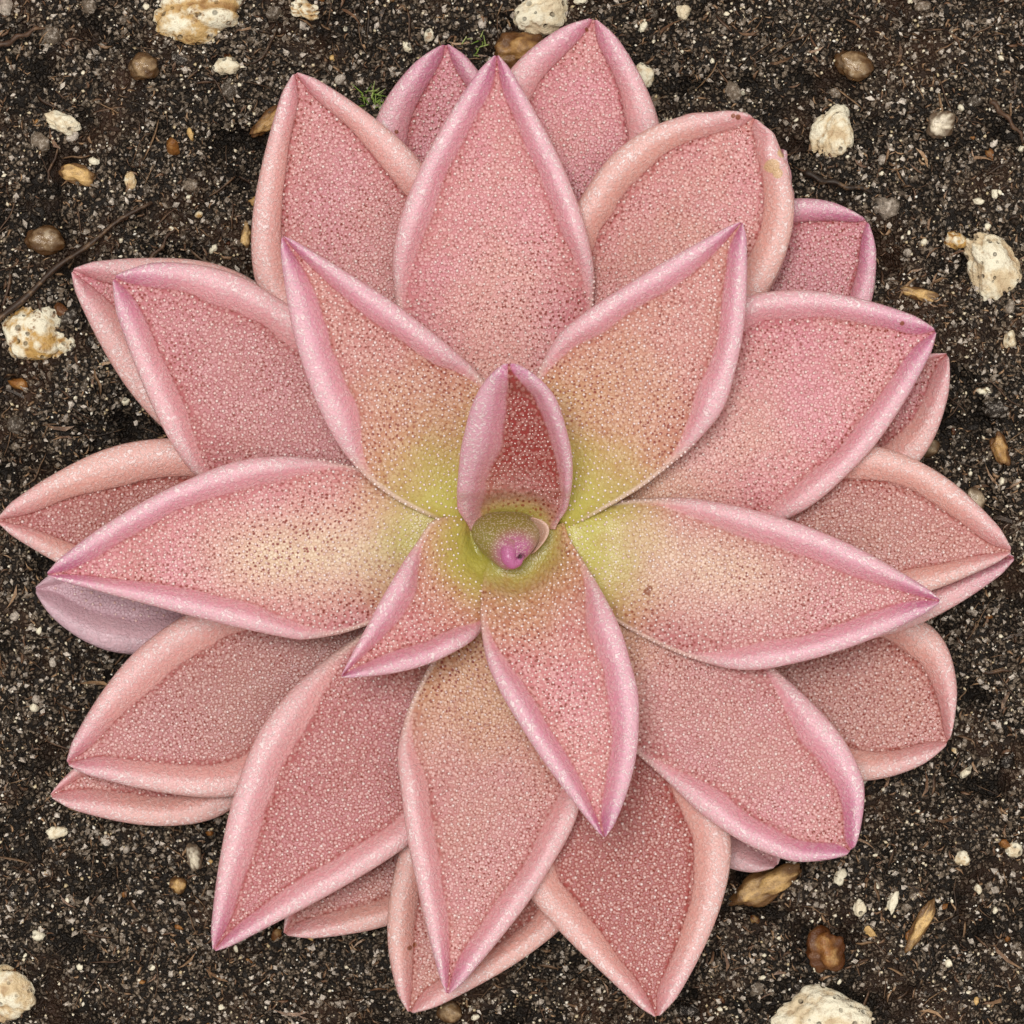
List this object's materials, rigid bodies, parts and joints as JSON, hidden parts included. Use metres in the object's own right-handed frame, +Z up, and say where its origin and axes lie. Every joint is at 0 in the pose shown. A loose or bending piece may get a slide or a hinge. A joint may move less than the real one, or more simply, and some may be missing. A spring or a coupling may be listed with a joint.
{
  "type": "butterwort in a pot",
  "caption": "Carnivorous butterwort: a flat rosette of pointed pink leaves with rolled-in margins, growing in gritty potting mix in a square clay pot.",
  "frame": {"origin": "on the ground, under the middle of the pot's square plan", "axes": "+Z up, the plant's own axis; +Y away from the viewer who has the youngest upright leaf at the back; +X to that viewer's right"},
  "size_m": [0.105, 0.105, 0.0826],
  "materials": {
    "clay": "matte, unglazed fired clay",
    "mix": "matte, moist peat, bark and grit",
    "perlite": "matte, porous expanded rock",
    "crown": "satin, living plant tissue",
    "bud": "satin, living plant tissue",
    "young_leaf": "satin, fleshy leaf wet with gland droplets",
    "old_leaf": "satin, fleshy leaf wet with gland droplets"
  },
  "bodies": {
    "root": {"pot": "clay", "potting_mix": "mix", "perlite_stone_1": "perlite", "perlite_stone_2": "perlite", "perlite_stone_3": "perlite", "perlite_stone_4": "perlite", "perlite_stone_5": "perlite", "perlite_stone_6": "perlite", "perlite_stone_7": "perlite", "crown_and_roots": "crown", "bud": "bud", "leaf_01": "young_leaf", "leaf_02": "young_leaf", "leaf_03": "young_leaf", "leaf_04": "young_leaf", "leaf_05": "young_leaf", "leaf_06": "young_leaf", "leaf_07": "young_leaf", "leaf_08": "young_leaf", "leaf_09": "young_leaf", "leaf_10": "young_leaf", "leaf_11": "young_leaf", "leaf_12": "young_leaf", "leaf_13": "old_leaf", "leaf_14": "old_leaf", "leaf_15": "old_leaf", "leaf_16": "old_leaf", "leaf_17": "old_leaf", "leaf_18": "old_leaf", "leaf_19": "old_leaf", "leaf_20": "old_leaf", "leaf_21": "old_leaf", "leaf_22": "old_leaf", "leaf_23": "old_leaf", "leaf_24": "old_leaf", "leaf_25": "old_leaf", "leaf_26": "old_leaf", "leaf_27": "old_leaf", "leaf_28": "old_leaf", "leaf_29": "old_leaf", "leaf_30": "old_leaf", "leaf_31": "old_leaf", "leaf_32": "old_leaf"}
  },
  "joints": []
}
